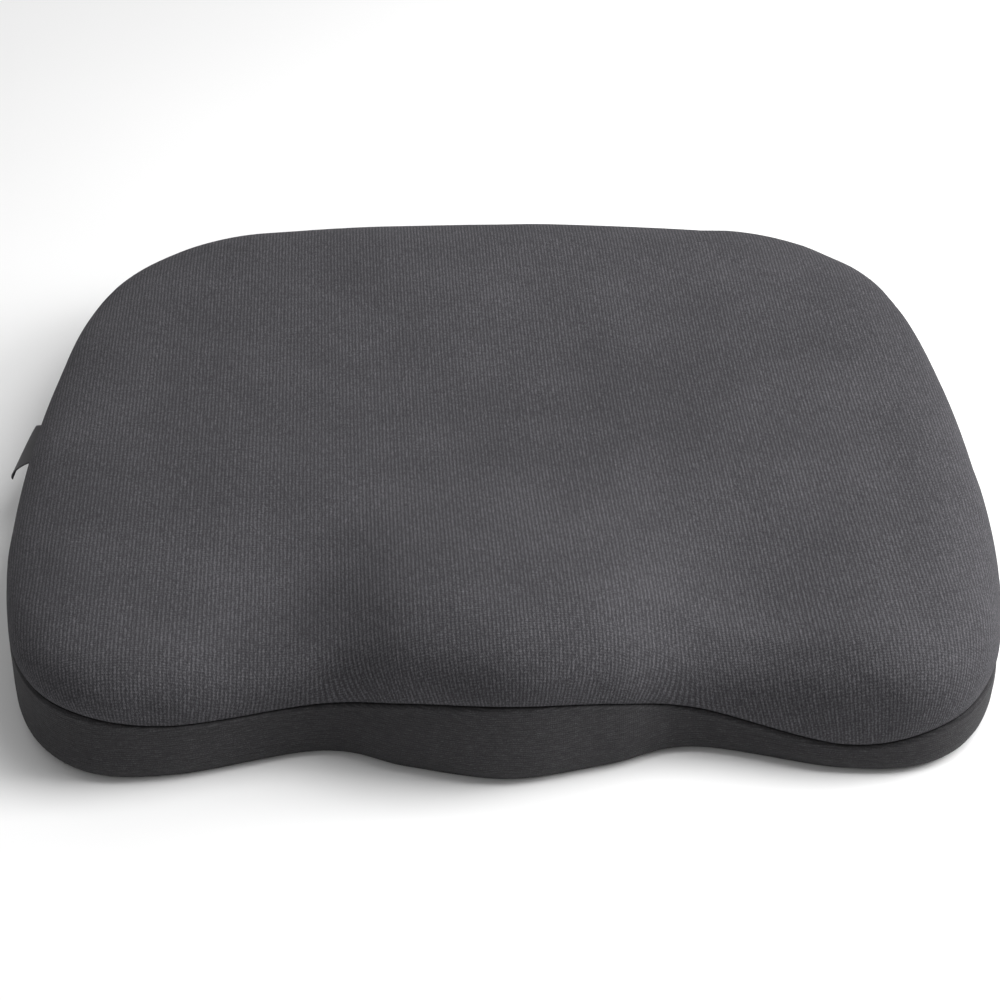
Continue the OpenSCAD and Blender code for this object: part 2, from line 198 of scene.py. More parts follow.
def wall_row(rim, z, inset=0.0):
    p = rim.xy - rim.out * np.reshape(wall_inset(z, rim.seam) + inset, (-1, 1))
    return np.column_stack([p, np.broadcast_to(z, rim.n)])


def band_rows(rim, levels, inset=0.0, low=0.0):
    """Rows of the wall, from height `low` (level 0) up to the seam (1)."""
    return np.array([wall_row(rim, low + v * (rim.seam - low), inset) for v in levels])


def edge_rows(rim, shares, inset=0.0, drop=0.0):
    """Rows of the rounded upper edge, from the seam (0) to the level seat (1)."""
    rows = []
    for share in shares:
        k = 1 - math.cos(math.pi / 2 * share)
        rise = (1 - (1 - k) ** EDGE_POWER) ** (1 / EDGE_POWER)
        bulge = EDGE_LIP * math.sin(math.pi * min(1, 2 * k))
        p = rim.xy - rim.ray * (k * EDGE_ROUND - bulge)
        z = rim.seam + (seat_z(p[:, 0], p[:, 1]) - rim.seam) * rise
        up = z - rim.seam
        roll = SEAM_ROLL * np.exp(-up / 0.0016) + BAND_LEAN * np.exp(-up / 0.006)
        p = p - rim.out * (roll + inset)[:, None]
        rows.append(np.column_stack([p, z - drop * rise]))
    return np.array(rows)


def seat_rows(rim, shares, drop=0.0):
    """Rows of the seat, from the rounded edge (0) towards the middle (1)."""
    rows = []
    for s in shares:
        p = (rim.xy - rim.ray * EDGE_ROUND) * (1 - s)
        rows.append(np.column_stack([p, seat_z(p[:, 0], p[:, 1]) - drop]))
    return np.array(rows)


def flat_rows(rim, profile):
    """Rows of a flat panel, from (inset, height) pairs, inwards from its edge."""
    return np.array([np.column_stack([rim.xy - rim.out * inset, np.full(rim.n, z)])
                     for inset, z in profile])


# ---------------------------------------------------------------- meshes
def new_object(name, points, faces, uv=None):
    mesh = bpy.data.meshes.new(name)
    mesh.from_pydata(np.asarray(points, float).tolist(), [], faces)
    if uv is not None:
        layer = mesh.uv_layers.new(name="UVMap")
        corners = np.empty(len(mesh.loops), int)
        mesh.loops.foreach_get("vertex_index", corners)
        layer.data.foreach_set("uv", np.asarray(uv, float)[corners].ravel())
    mesh.polygons.foreach_set("use_smooth", [True] * len(mesh.polygons))
    obj = bpy.data.objects.new(name, mesh)
    bpy.context.scene.collection.objects.link(obj)
    return obj


def ring_faces(rows, n, closed, flip=False, first=0):
    """Quads between rows of n points each."""
    across = np.arange(n if closed else n - 1)
    a = np.arange(rows - 1)[:, None] * n + across + first
    b = np.arange(rows - 1)[:, None] * n + (across + 1) % n + first
    quads = np.stack([a, b, b + n, a + n], -1).reshape(-1, 4)
    return (quads[:, ::-1] if flip else quads).tolist()


def grid_normals(grid, closed):
    """Outward normals of a grid of rows that climb, with columns that run anticlockwise."""
    if closed:
        du = np.roll(grid, -1, 1) - np.roll(grid, 1, 1)
    else:
        du = np.gradient(grid, axis=1)
    n = np.cross(du, np.gradient(grid, axis=0))
    return n / np.maximum(np.linalg.norm(n, axis=2, keepdims=True), 1e-12)


def shell(name, grid, uv, thickness, closed, cap=False):
    """A sheet of even thickness, from the grid of its outer face. cap closes the last row."""
    rows, n = grid.shape[:2]
    inner = grid - grid_normals(grid, closed) * thickness
    points = np.concatenate([grid.reshape(-1, 3), inner.reshape(-1, 3)])
    uvs = np.concatenate([uv.reshape(-1, 2), uv.reshape(-1, 2)])
    count = rows * n
    faces = ring_faces(rows, n, closed) + ring_faces(rows, n, closed, True, count)
    around = [(i, (i + 1) % n) for i in range(n if closed else n - 1)]
    faces += [[j, i, i + count, j + count] for i, j in around]
    top = (rows - 1) * n
    if cap:
        middle = grid[-1].mean(0)
        middle[2] = seat_z(0.0, 0.0) + (grid[-1, :, 2] - seat_z(*grid[-1, :, :2].T)).mean()
        points = np.vstack([points, middle, middle - (0, 0, thickness)])
        uvs = np.vstack([uvs, uv[-1].mean(0), uv[-1].mean(0)])
        hub = 2 * count
        faces += [[top + i, top + j, hub] for i, j in around]
        faces += [[top + j + count, top + i + count, hub + 1] for i, j in around]
    else:
        faces += [[top + i, top + j, top + j + count, top + i + count] for i, j in around]
    if not closed:
        for r in range(0, top, n):
            faces += [[r, r + n, r + n + count, r + count],
                      [r + 2 * n - 1, r + n - 1, r + n - 1 + count, r + 2 * n - 1 + count]]
    return face_out(new_object(name, points, faces, uvs))


def solid(name, rows):
    """A closed solid of rings of points, capped by a point in the middle of each end ring."""
    count, n = rows.shape[:2]
    ends = [rows[0].mean(0), rows[-1].mean(0)]
    points = np.vstack([rows.reshape(-1, 3), ends])
    uvs = points[:, :2]
    low, high, top = count * n, count * n + 1, (count - 1) * n
    faces = ring_faces(count, n, True)
    faces += [[(i + 1) % n, i, low] for i in range(n)]
    faces += [[top + i, top + (i + 1) % n, high] for i in range(n)]
    return face_out(new_object(name, points, faces, uvs))


def face_out(obj):
    """Turns every face of a closed piece outwards."""
    mesh = bmesh.new()
    mesh.from_mesh(obj.data)
    bmesh.ops.recalc_face_normals(mesh, faces=mesh.faces)
    mesh.to_mesh(obj.data)
    mesh.free()
    return obj


def swept(name, sections, closed):
    """A bar from a run of equal closed sections, with UVs along it and round it."""
    count, n = sections.shape[:2]
    steps = np.linalg.norm(np.diff(sections.mean(1), axis=0), axis=1)
    run = np.concatenate([[0], np.cumsum(steps)])
    girth = np.linalg.norm(sections - np.roll(sections, 1, 1), axis=2).mean(0).cumsum()
    uv = np.stack(np.meshgrid(run, girth, indexing="ij"), -1).reshape(-1, 2)
    faces = []
    for a in range(count if closed else count - 1):
        b = (a + 1) % count
        faces += [[a * n + i, b * n + i, b * n + (i + 1) % n, a * n + (i + 1) % n]
                  for i in range(n)]
    if not closed:
        faces += [list(range(n)), [(count - 1) * n + i for i in range(n)][::-1]]
    return face_out(new_object(name, sections.reshape(-1, 3), faces, uv))


# A direction that no thread follows
ASIDE = (0.12, 0.2, 0.97)


def tubes(name, paths, radius, sides=6, taper=False):
    """Round threads along open paths, all in one mesh. taper rounds their ends off."""
    points, faces, uvs = [], [], []
    turn = np.arange(sides) / sides * 2 * math.pi
    for path in paths:
        path = np.asarray(path, float)
        tangent = np.gradient(path, axis=0)
        tangent /= np.linalg.norm(tangent, axis=1)[:, None]
        side = np.cross(tangent, ASIDE)
        side /= np.linalg.norm(side, axis=1)[:, None]
        up = np.cross(side, tangent)
        r = np.full(len(path), radius)
        if taper:
            r[0] *= 0.35
            r[-1] *= 0.35
        ring = (path[:, None] + r[:, None, None]
                * (side[:, None] * np.cos(turn)[:, None] + up[:, None] * np.sin(turn)[:, None]))
        base = sum(len(p) for p in points)
        run = np.concatenate([[0], np.cumsum(np.linalg.norm(np.diff(path, axis=0), axis=1))])
        uv = np.stack(np.meshgrid(run, turn / (2 * math.pi), indexing="ij"), -1)
        points.append(ring.reshape(-1, 3))
        uvs.append(uv.reshape(-1, 2))
        faces += ring_faces(len(path), sides, True, False, base)
        faces += [list(range(base, base + sides))[::-1],
                  list(range(base + (len(path) - 1) * sides, base + len(path) * sides))]
    return face_out(new_object(name, np.concatenate(points), faces, np.concatenate(uvs)))


# ---------------------------------------------------------------- cloth
COARSE = 208
COARSE_BAND = np.linspace(0, 1, 9)
COARSE_EDGE = np.linspace(0, 1, 15)
COARSE_SEAT = np.linspace(0.12, 0.84, 7)
CLOTH_CAP = 0.0004
CLOTH_FRAMES = 20
FINE_PASSES = 10
BROAD_PASSES = 150


def evened(rows, times):
    """Rows of values round the cover, each averaged with its neighbours so many times."""
    for _ in range(times):
        rows = (np.roll(rows, 1, 1) + 2 * rows + np.roll(rows, -1, 1)) / 4
    return rows


def simulate_cover():
    """Inflates a coarse copy of the cover, held at both seams, and returns how much more or
    less than the rest of its row each point of the wall and of the panel swelled. The
    outline is that of the filled cover, so only the unevenness is kept."""
    rim = Rim(COARSE)
    wall = band_rows(rim, COARSE_BAND)
    panel = np.concatenate([edge_rows(rim, COARSE_EDGE), seat_rows(rim, COARSE_SEAT)])
    grid = np.concatenate([wall[:-1], panel])
    rows, n = grid.shape[:2]
    seam_row = len(wall) - 1
    points = np.vstack([grid.reshape(-1, 3), [0, 0, seat_z(0, 0)], [0, 0, 0]])
    faces = ring_faces(rows, n, True)
    faces += [[(rows - 1) * n + i, (rows - 1) * n + (i + 1) % n, rows * n] for i in range(n)]
    faces += [[(i + 1) % n, i, rows * n + 1] for i in range(n)]
    work = new_object("cloth_work", points, faces)
    pin = work.vertex_groups.new(name="pin")
    held = list(range(n)) + list(range(seam_row * n, (seam_row + 1) * n)) + [rows * n + 1]
    pin.add(held, 1.0, "REPLACE")
    scene = bpy.context.scene
    cloth = work.modifiers.new("cloth", "CLOTH")
    s = cloth.settings
    s.quality = 5
    s.mass = 0.3
    s.tension_stiffness = s.compression_stiffness = 12
    s.shear_stiffness = 4
    s.bending_stiffness = 0.4
    s.use_pressure = True
    s.uniform_pressure_force = 4
    s.shrink_min = -0.012
    s.vertex_group_mass = "pin"
    s.effector_weights.gravity = 0
    cloth.collision_settings.use_collision = False
    cloth.point_cache.frame_start = 1
    cloth.point_cache.frame_end = CLOTH_FRAMES
    for f in range(1, CLOTH_FRAMES + 1):
        scene.frame_set(f)
    shape = work.evaluated_get(bpy.context.evaluated_depsgraph_get()).data
    after = np.empty(len(shape.vertices) * 3)
    shape.vertices.foreach_get("co", after)
    moved = (after.reshape(-1, 3) - points)[:rows * n].reshape(rows, n, 3)
    scene.frame_set(1)
    bpy.data.objects.remove(work)
    normals = grid_normals(grid, True)
    swell = (moved * normals).sum(2)
    swell -= swell.mean(1, keepdims=True)
    swell = evened(swell, FINE_PASSES)
    swell -= evened(swell, BROAD_PASSES)
    moved = np.clip(swell, -CLOTH_CAP, CLOTH_CAP)[..., None] * normals
    return moved[:seam_row + 1], moved[seam_row:]


def spread(moved, places, shares, n):
    """Carries a coarse grid of moves over to finer rows (shares) of n points."""
    fine = np.array([[np.interp(shares, places, moved[:, i, c]) for i in range(moved.shape[1])]
                     for c in range(3)])
    at = np.arange(n) / n * moved.shape[1]
    whole = np.arange(moved.shape[1] + 1)
    out = np.empty((len(shares), n, 3))
    for c in range(3):
        ring = np.concatenate([fine[c], fine[c][:1]])
        for r in range(len(shares)):
            out[r, :, c] = np.interp(at, whole, ring[:, r])
    return out


# ---------------------------------------------------------------- cover
BAND_LEVELS = np.array([0, 0.03, 0.08, 0.15, 0.25, 0.37, 0.5, 0.63, 0.74, 0.83,
                        0.88, 0.91, 0.935, 0.96, 0.98, 0.99, 1.0])
EDGE_SHARES = np.concatenate([[0, 0.012, 0.025, 0.045, 0.07, 0.1, 0.14], np.linspace(0.19, 1, 24)])
SEAT_SHARES = np.concatenate([np.linspace(0.05, 0.9, 18), [0.96]])
SEAM_GAP = 0.0003
GRAIN_SKEW = math.radians(2.5)


def grain(flat):
    """The knit's own axes, turned a little from the cushion's."""
    c, s = math.cos(GRAIN_SKEW), math.sin(GRAIN_SKEW)
    return np.stack([flat[..., 0] * c + flat[..., 1] * s, flat[..., 1] * c - flat[..., 0] * s], -1)


def unrolled(grid, rim, edge_n):
    """Where each point of the panel lay in the flat cloth: the seat keeps its place, and
    what the rounded edge drops is laid out square to the wall."""
    steps = np.diff(grid[:edge_n], axis=0)
    extra = np.linalg.norm(steps, axis=2) - np.linalg.norm(steps[..., :2], axis=2)
    run = np.concatenate([np.zeros((1, grid.shape[1])), np.cumsum(extra, 0)])
    flat = grid[..., :2].copy()
    flat[:edge_n] += rim.out * (run[-1] - run)[..., None]
    return grain(flat)


def make_cover(rim, moved):
    """The knit panel, the band round the sides and front, and the two rear strips."""
    edge = edge_rows(rim, EDGE_SHARES)
    panel = np.concatenate([edge, seat_rows(rim, SEAT_SHARES)])
    flat = unrolled(panel, rim, len(edge))
    wall_move = np.zeros((len(BAND_LEVELS), rim.n, 3))
    if moved is not None:
        wall_move = spread(moved[0], COARSE_BAND, BAND_LEVELS, rim.n)
        shares = np.concatenate([EDGE_SHARES, 1 + SEAT_SHARES])
        fade = 1 - 0.85 * smooth(0.35, 1.25, shares)
        panel = panel + (spread(moved[1], np.concatenate([COARSE_EDGE, 1 + COARSE_SEAT]),
                                shares, rim.n) * fade[:, None, None])
    top = shell("top_panel", panel, flat, KNIT_T, True, cap=True)
    wall = band_rows(rim, BAND_LEVELS) + wall_move
    wall[..., 2] -= SEAM_GAP * BAND_LEVELS[:, None]
    cols = rim.between(REAR[1], REAR[0])
    uv = np.stack([np.broadcast_to(np.arange(len(cols)) * rim.length / rim.n,
                                   wall[:, cols].shape[:2]), wall[:, cols, 2]], -1)
    side = shell("side_band", wall[:, cols], uv, KNIT_T, False)
    cols = rim.between(*REAR)
    run = np.broadcast_to(rim.run[cols], (1, len(cols)))
    low = ZIP_Z + ZIP_GAP
    levels = np.concatenate([[0, 0.01, 0.03], np.linspace(0.08, 0.8, 7), [0.9, 0.96, 1]])
    upper = band_rows(rim, levels, low=low)[:, cols]
    upper[..., 2] -= SEAM_GAP * levels[:, None]
    uv = np.stack([run.repeat(len(levels), 0), upper[..., 2]], -1)
    rear_top = shell("rear_band_over_zip", upper, uv, KNIT_T, False)
    heights = np.linspace(0, ZIP_Z - ZIP_GAP, 9)
    lower = np.array([wall_row(rim, z) for z in heights])[:, cols]
    uv = np.stack([run.repeat(len(heights), 0), lower[..., 2]], -1)
    rear_low = shell("rear_band_under_zip", lower, uv, KNIT_T, False)
    return top, side, rear_top, rear_low


# ---------------------------------------------------------------- inside
INNER_EDGE = np.linspace(0.05, 1, 16)
INNER_SEAT = np.linspace(0.08, 0.97, 14)
FOAM_LOW = 0.0034
FOAM_INSET = 0.006
FOAM_DROP = 0.0033
LINER_LOW = 0.0031
LINER_INSET = 0.005
LINER_DROP = 0.0023
LINER_T = 0.0006
LINER_BASE = 0.0024
SHEET_RING = 0.1


def make_foam(rim):
    """The moulded core, its lower edge eased, under the liner all over."""
    eased = ((0, 0.0018), (0.0004, 0.0008), (0.0014, 0.0002), (0.003, 0))
    rows = [wall_row(rim, FOAM_LOW + z, FOAM_INSET + inset) for z, inset in eased]
    rows = np.concatenate([rows, band_rows(rim, (0.4, 0.7, 0.95), FOAM_INSET),
                           edge_rows(rim, INNER_EDGE, FOAM_INSET, FOAM_DROP),
                           seat_rows(rim, INNER_SEAT, FOAM_DROP)])
    return solid("foam_pad", rows)


def make_liner(rim):
    """The jersey bag over the core, and the sheet that closes it below."""
    levels = np.concatenate([[0], np.linspace(0.15, 0.92, 5)])
    sides = np.concatenate([band_rows(rim, levels, LINER_INSET, low=LINER_LOW),
                            edge_rows(rim, INNER_EDGE, LINER_INSET, LINER_DROP)])
    rows = np.concatenate([sides, seat_rows(rim, INNER_SEAT, LINER_DROP)])
    top = shell("liner_bag", rows, unrolled(rows, rim, len(sides)), LINER_T, True)
    low, high = LINER_BASE, LINER_BASE + LINER_T
    inset = LINER_INSET + low_tuck(low)
    base = solid("liner_under_sheet", flat_rows(rim, ((SHEET_RING, low), (inset, low),
                                                     (inset, high), (SHEET_RING, high))))
    return top, base


# ---------------------------------------------------------------- underside
def make_base(rim):
    """The base panel: a hem round its edge, and a field standing a dot's height higher."""
    e = HEM_INSET
    under = ((e, 0.001), (e + 0.00015, 0.00035), (e + 0.0006, 0.00004), (e + 0.0014, 0),
             (e + 0.0038, 0), (e + 0.0042, 0.0003), (e + 0.0048, 0.0003), (e + 0.0052, 0),
             (e + HEM_W - 0.001, 0), (e + HEM_W - 0.0004, 0.0001), (e + HEM_W, 0.0005),
             (e + HEM_W + 0.0006, DOT_H))
    over = ((e, 0.0014), (e + 0.0003, 0.0018), (e + 0.0009, BASE_TOP), (e + HEM_W, BASE_TOP))
    inward = np.linspace(0.06, 0.97, 22)
    low = flat_rows(rim, under)
    high = flat_rows(rim, over)
    field = [low[-1] * (1 - s, 1 - s, 1) for s in inward]
    roof = [high[-1] * (1 - s, 1 - s, 1) for s in inward]
    return solid("base_fabric", np.concatenate([field[::-1], low[::-1], high, roof]))


def dot_places():
    """The rows of grip dots, every second row set half a pitch over, clear of the hem."""
    rim = rim_at(np.arange(KNOT_N * CAD_STEPS) / CAD_STEPS)[:, :2]
    row_step = DOT_PITCH * math.sin(math.pi / 3)
    rows = int(DOT_AREA[1] / row_step)
    cols = int(DOT_AREA[0] / DOT_PITCH)
    for row in range(-rows, rows + 1):
        for col in range(-cols - 1, cols + 1):
            at = np.array([(col + (0.5 if row % 2 else 0)) * DOT_PITCH, row * row_step])
            clear = np.linalg.norm(rim - at, axis=1).min() > DOT_CLEAR
            if abs(at[0]) <= DOT_AREA[0] and abs(at[1]) <= DOT_AREA[1] and clear:
                yield at


def make_dots():
    """Soft grip dots, each rounded to the point that stands on the floor."""
    profile = ((1.0, 0.95), (1.0, 0.6), (0.93, 0.25), (0.75, 0.06), (0.5, 0.0))
    sides = 20
    turn = np.arange(sides) / sides * 2 * math.pi
    circle = np.column_stack([np.cos(turn), np.sin(turn)]) * DOT_R
    points, faces = [], []
    for at in dot_places():
        base = len(points)
        for r, h in profile:
            points += [(at[0] + x * r, at[1] + y * r, h * DOT_H) for x, y in circle]
        faces += ring_faces(len(profile), sides, True, False, base)
        end = base + (len(profile) - 1) * sides
        faces += [list(range(base, base + sides)), list(range(end, end + sides))[::-1]]
    return face_out(new_object("grip_dot_print", points, faces, np.array(points)[:, :2]))


# ---------------------------------------------------------------- seams
LOCK_PITCH = 0.0026
LOCK_THREAD_R = 0.00013


def lock_sections(rim, top_z, inset):
    """The folded seam allowance, two cloths thick, as sections round the rim."""
    outline = ((0, 0), (0.0002, -0.0002), (0.0002, -0.0022), (0.0004, -0.0024),
               (0.0010, -0.0024), (0.0012, -0.0022), (0.0012, -0.0002), (0.0010, 0))
    return np.stack([np.column_stack([rim.xy - rim.out * (inset + d), top_z + h])
                     for d, h in outline], 1)


def lock_thread(name, rim, top_z, inset):
    """The overlock thread, which zigzags round the edge of the allowance."""
    turns = int(rim.length / LOCK_PITCH)
    at = np.arange(turns * 4 + 1) / (turns * 4) * rim.n
    whole = np.arange(rim.n + 1)
    ring = [np.append(v, v[0]) for v in (*rim.xy.T, *rim.out.T, np.broadcast_to(top_z, rim.n),
                                         np.broadcast_to(inset, rim.n))]
    x, y, ox, oy, z, d = [np.interp(at, whole, v) for v in ring]
    beat = np.arange(len(at)) % 4
    depth = np.choose(beat, (-0.0001, 0.0006, 0.0013, 0.0006)) + d
    height = np.choose(beat, (-0.0004, -0.00255, -0.0006, -0.0022))
    path = np.column_stack([x - ox * depth, y - oy * depth, z + height])
    return tubes(name, [path], LOCK_THREAD_R, 5)


def arc_point(r, deg, z):
    """Points at radius r about the rear arc's centre, deg degrees to the right of the middle."""
    a = np.radians(deg)
    r, a, z = np.broadcast_arrays(r, a, z)
    return np.stack([r * np.sin(a), ZIP_AXIS_Y + r * np.cos(a), z], -1)


ARC_DEG = math.degrees(1 / ZIP_R)
ZIP_HALF = math.degrees(math.asin(0.1295 / ZIP_R))
SLIDER_REST = 8.91364
SLIDER_FAR = -8.82317
TAPE_R = ZIP_R - 0.0018
TAPE_T = 0.0006
TAPE_EDGE = 0.0016
TOOTH_PITCH = 0.0026
COIL_WIRE_R = 0.00029


def make_tape(name, side, width):
    """A woven tape with a bead along its coil edge, leaning in with the band."""
    z1, z2 = ZIP_Z + side * TAPE_EDGE, ZIP_Z + side * (TAPE_EDGE + width)
    lean = low_tuck(z2) + 0.002 * max(0, (z2 - BULGE_Z) / 0.027) ** 2
    share = np.array([0, 0.04, 0.1, 0.3, 0.6, 0.9, 1])
    bead = np.array([0, 0.0001, 0.0001, 0, 0, 0, 0])
    r = TAPE_R - lean * share
    z = z1 + (z2 - z1) * share
    outline = np.column_stack([np.concatenate([r - bead, (r - TAPE_T)[::-1]]),
                               np.concatenate([z, z[::-1]])])
    deg = np.linspace(-ZIP_HALF + 0.05, ZIP_HALF - 0.05, 160)
    return swept(name, np.stack([arc_point(a, deg, b) for a, b in outline], 1), False)


def make_coil(name, side, shift):
    """One row of the zip: a monofilament wound into turns with a head on each."""
    start = SLIDER_FAR - 0.0045 * ARC_DEG
    end = SLIDER_REST + 0.0022 * ARC_DEG
    turns = int((end - start) / (TOOTH_PITCH * ARC_DEG)) - 1
    t = np.arange(turns * 14) / 14
    a = 2 * math.pi * t
    squared = np.sign(np.cos(a)) * np.abs(np.cos(a)) ** 0.7
    away = 0.00160 + 0.00110 * squared
    r = TAPE_R + 0.0011 + 0.00068 * np.sign(np.sin(a)) * np.abs(np.sin(a)) ** 0.8
    deg = start + (t + shift + 0.3) * TOOTH_PITCH * ARC_DEG
    return tubes(name, [arc_point(r, deg, ZIP_Z + side * away)], COIL_WIRE_R, 7)


def stitches(name, at, pitch, length, radius):
    """A row of machine stitches; at(d) gives points d metres along it."""
    lift = np.array([-0.00022, 0.00008, 0.00014, 0.00008, -0.00022])
    paths = []
    d = pitch / 2
    while d + pitch < at.length:
        paths.append(at(np.linspace(d, d + length, len(lift)), lift))
        d += pitch
    return tubes(name, paths, radius, 6, taper=True)


REAR_SEAM = 0.0375


class RearLine:
    """A line along the rear strips at one height."""

    def __init__(self, z):
        self.z = z
        self.length = 2 * ZIP_HALF / ARC_DEG - 0.004

    def __call__(self, d, lift):
        deg = -ZIP_HALF + (d + 0.002) * ARC_DEG
        return arc_point(ZIP_R - wall_inset(self.z, REAR_SEAM) + lift, deg, self.z)


class HemLine:
    """A line round the base panel's hem, on its underside."""

    def __init__(self, rim, inset, z):
        self.rim = rim
        self.inset = inset
        self.z = z
        self.length = rim.length * 0.985

    def __call__(self, d, lift):
        rim = self.rim
        at = d / self.length * rim.n
        whole = np.arange(rim.n + 1)
        p = rim.xy - rim.out * self.inset
        x, y = (np.interp(at, whole, np.append(v, v[0])) for v in p.T)
        return np.column_stack([x, y, self.z - lift])


# ---------------------------------------------------------------- labels
LABEL_ROOT = np.array((-0.222234, 0.003328, 0.0368))
LABEL_ALONG = np.array((-0.057036, -0.998372, 0.0))
LABEL_OUT = np.array((-0.998372, 0.057036, 0.0))
LABEL_W = 0.030
LABEL_BACK = 0.0178
LABEL_T = 0.00042
CARE_KNOT = 19
CARE_W = 0.04
CARE_H = 0.02
CARE_LOW = 0.005
CARE_INSET = 0.00355
CARE_T = 0.00022


def make_side_label():
    """A ribbon folded over and caught in the left seam, short and level at its rear end,
    longer and drooping at its front end."""
    along = np.linspace(0, 1, 31)
    around = np.linspace(0, 1, 29)
    rows = []
    for s in along:
        reach = 0.0045 + 0.0045 * s + 0.0052 * s**4
        droop = 0.17 + 0.52 * s**1.5
        puff = 0.0007 + 0.0006 * math.sin(math.pi * s)
        path = []
        for t in around:
            w = 1 - abs(2 * t - 1)
            out = reach * math.sin(math.pi / 2 * w)
            layer = 1 if t < 0.5 else -0.4
            gap = layer * puff * math.sqrt(max(0.0, 1 - w**4)) * (0.3 + 0.7 * w)
            bend = droop * (0.45 + 0.60 * w)
            out += 0.0003 - 0.0006 * (1 - w) ** 6
            forward = s * LABEL_W - LABEL_BACK + 0.0018 * s**2 * w
            path.append(LABEL_ROOT + LABEL_ALONG * forward
                        + LABEL_OUT * (out * math.cos(bend) + gap * math.sin(bend))
                        + np.array((0, 0, gap * math.cos(bend) - out * math.sin(bend))))
        rows.append(path)
    grid = np.array(rows)
    steps = np.linalg.norm(np.diff(grid, axis=1), axis=2).mean(0)
    run = np.concatenate([[0], np.cumsum(steps)])
    uv = np.stack(np.meshgrid(along * LABEL_W, run, indexing="ij"), -1)
    return shell("side_label_ribbon", grid, uv, LABEL_T, False)


def make_care_label(rim):
    """A blank satin label, slightly curled, hanging inside the band by the left front."""
    k = rim.index(CARE_KNOT)
    out = np.append(rim.out[k], 0)
    along = np.array((-out[1], out[0], 0))
    middle = np.append(rim.xy[k] - rim.out[k] * CARE_INSET, 0)
    u = np.linspace(-0.5, 0.5, 33)
    v = np.linspace(0, 1, 17)
    rows = [[middle + along * (a * CARE_W) + np.array((0, 0, CARE_LOW + CARE_H * b))
             + out * (0.00009 * math.sin(9 * a + 2.2 * b)) for a in u] for b in v]
    grid = np.array(rows)
    uv = np.stack(np.meshgrid(v * CARE_H, u * CARE_W, indexing="ij")[::-1], -1)
    return shell("care_label_satin", grid, uv, CARE_T, False)


# ---------------------------------------------------------------- materials
class Look:
    """A material under construction: short calls for nodes and the links between them."""

    def __init__(self, name, roughness, specular=0.5, sheen=0.0, sheen_rough=0.5,
                 sheen_tint=(1, 1, 1), metallic=0.0):
        self.material = bpy.data.materials.new(name)
        self.material.use_nodes = True
        self.nodes = self.material.node_tree.nodes
        self.links = self.material.node_tree.links
        self.shader = self.nodes["Principled BSDF"]
        for key, value in (("Roughness", roughness), ("Specular IOR Level", specular),
                           ("Sheen Weight", sheen), ("Sheen Roughness", sheen_rough),
                           ("Sheen Tint", (*sheen_tint, 1)), ("Metallic", metallic)):
            self.shader.inputs[key].default_value = value

    def put(self, socket, value):
        """Links a node's output, or sets a number."""
        if hasattr(value, "is_output"):
            self.links.new(value, socket)
        else:
            socket.default_value = value

    def math(self, operation, *values):
        node = self.nodes.new("ShaderNodeMath")
        node.operation = operation
        for socket, value in zip(node.inputs, values):
            self.put(socket, value)
        return node.outputs[0]

    def wave(self, value, pitch, shift=0.0):
        """A smooth wave from 0 to 1 along value."""
        turn = self.math("MULTIPLY_ADD", value, 2 * math.pi / pitch, shift)
        return self.math("MULTIPLY_ADD", self.math("SINE", turn), 0.5, 0.5)

    def uv(self):
        """The cloth's own coordinates, in metres."""
        node = self.nodes.new("ShaderNodeUVMap")
        node.uv_map = "UVMap"
        split = self.nodes.new("ShaderNodeSeparateXYZ")
        self.links.new(node.outputs[0], split.inputs[0])
        return split.outputs[0], split.outputs[1]

    def place(self):
        """The piece's own coordinates, which stay with it in every pose."""
        return self.nodes.new("ShaderNodeTexCoord").outputs["Object"]

    def stretch(self, scale):
        """The piece's own place, scaled along each axis."""
        node = self.nodes.new("ShaderNodeMapping")
        node.inputs["Scale"].default_value = scale
        self.links.new(self.place(), node.inputs[0])
        return node.outputs[0]

    def pair(self, a, b):
        node = self.nodes.new("ShaderNodeCombineXYZ")
        self.put(node.inputs[0], a)
        self.put(node.inputs[1], b)
        return node.outputs[0]

    def noise(self, scale, detail=3.0, vector=None, rough=0.5):
        node = self.nodes.new("ShaderNodeTexNoise")
        node.inputs["Scale"].default_value = scale
        node.inputs["Detail"].default_value = detail
        node.inputs["Roughness"].default_value = rough
        self.links.new(self.place() if vector is None else vector, node.inputs["Vector"])
        return node.outputs["Fac"]

    def cells(self, scale):
        node = self.nodes.new("ShaderNodeTexVoronoi")
        node.inputs["Scale"].default_value = scale
        self.links.new(self.place(), node.inputs["Vector"])
        return node.outputs["Distance"]

    def blend(self, *parts):
        """The sum of value * weight pairs."""
        total = None
        for value, weight in parts:
            total = (self.math("MULTIPLY", value, weight) if total is None
                     else self.math("MULTIPLY_ADD", value, weight, total))
        return total

    def colour(self, value, *stops):
        """The base colour, from a ramp of (place, colour) stops."""
        node = self.nodes.new("ShaderNodeValToRGB")
        ramp = node.color_ramp
        while len(ramp.elements) < len(stops):
            ramp.elements.new(0.5)
        for element, (at, rgb) in zip(ramp.elements, stops):
            element.position = at
            element.color = (*rgb, 1)
        self.links.new(value, node.inputs[0])
        self.links.new(node.outputs[0], self.shader.inputs["Base Color"])

    def rough(self, value, low, high):
        node = self.nodes.new("ShaderNodeMapRange")
        self.put(node.inputs["Value"], value)
        node.inputs["To Min"].default_value = low
        node.inputs["To Max"].default_value = high
        self.links.new(node.outputs[0], self.shader.inputs["Roughness"])

    def bump(self, height, depth, strength=1.0):
        node = self.nodes.new("ShaderNodeBump")
        node.inputs["Strength"].default_value = strength
        node.inputs["Distance"].default_value = depth
        self.links.new(height, node.inputs["Height"])
        self.links.new(node.outputs[0], self.shader.inputs["Normal"])


RIB_PITCH = 0.0017


